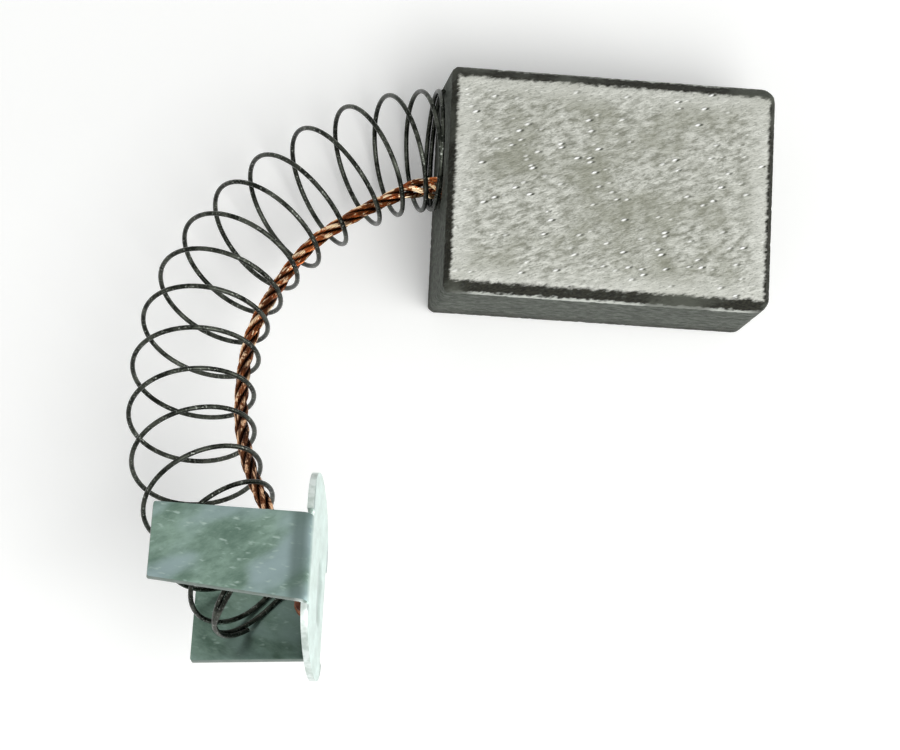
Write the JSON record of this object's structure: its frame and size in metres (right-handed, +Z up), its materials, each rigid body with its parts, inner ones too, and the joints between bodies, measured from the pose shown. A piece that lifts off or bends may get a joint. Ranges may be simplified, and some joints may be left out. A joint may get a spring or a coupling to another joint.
{
  "type": "carbon brush with coil spring and terminal",
  "caption": "Chamfered rectangular carbon block with a twisted copper shunt running through a bent coil spring to a folded two-leg sheet terminal.",
  "frame": {"origin": "centre of the block's contact face, which rubs on the commutator", "axes": "+X out of the contact face, +Z up out of the upper broad face with the block lying on its other broad face, +Y along the block's width; the free end of the spring bends round to -Y and rises to +Z"},
  "size_m": [0.0462, 0.0462, 0.0272],
  "materials": {
    "carbon_graphite": "fired carbon graphite, rubbed faces with bright flakes",
    "copper_powder": "tamped copper powder, matt",
    "copper_strand": "bare twisted copper wires",
    "copper_weld": "heat-darkened copper",
    "spring_steel": "dark drawn spring wire",
    "zinc_plated_sheet": "zinc plate with a pale green passivation"
  },
  "bodies": {
    "root": {"carbon_block": "carbon_graphite", "tamped_filling": "copper_powder", "shunt_strand_1": "copper_strand", "shunt_strand_2": "copper_strand", "shunt_strand_3": "copper_strand", "shunt_strand_4": "copper_strand", "shunt_weld": "copper_weld", "coil_spring": "spring_steel", "terminal_sheet": "zinc_plated_sheet"}
  },
  "joints": []
}
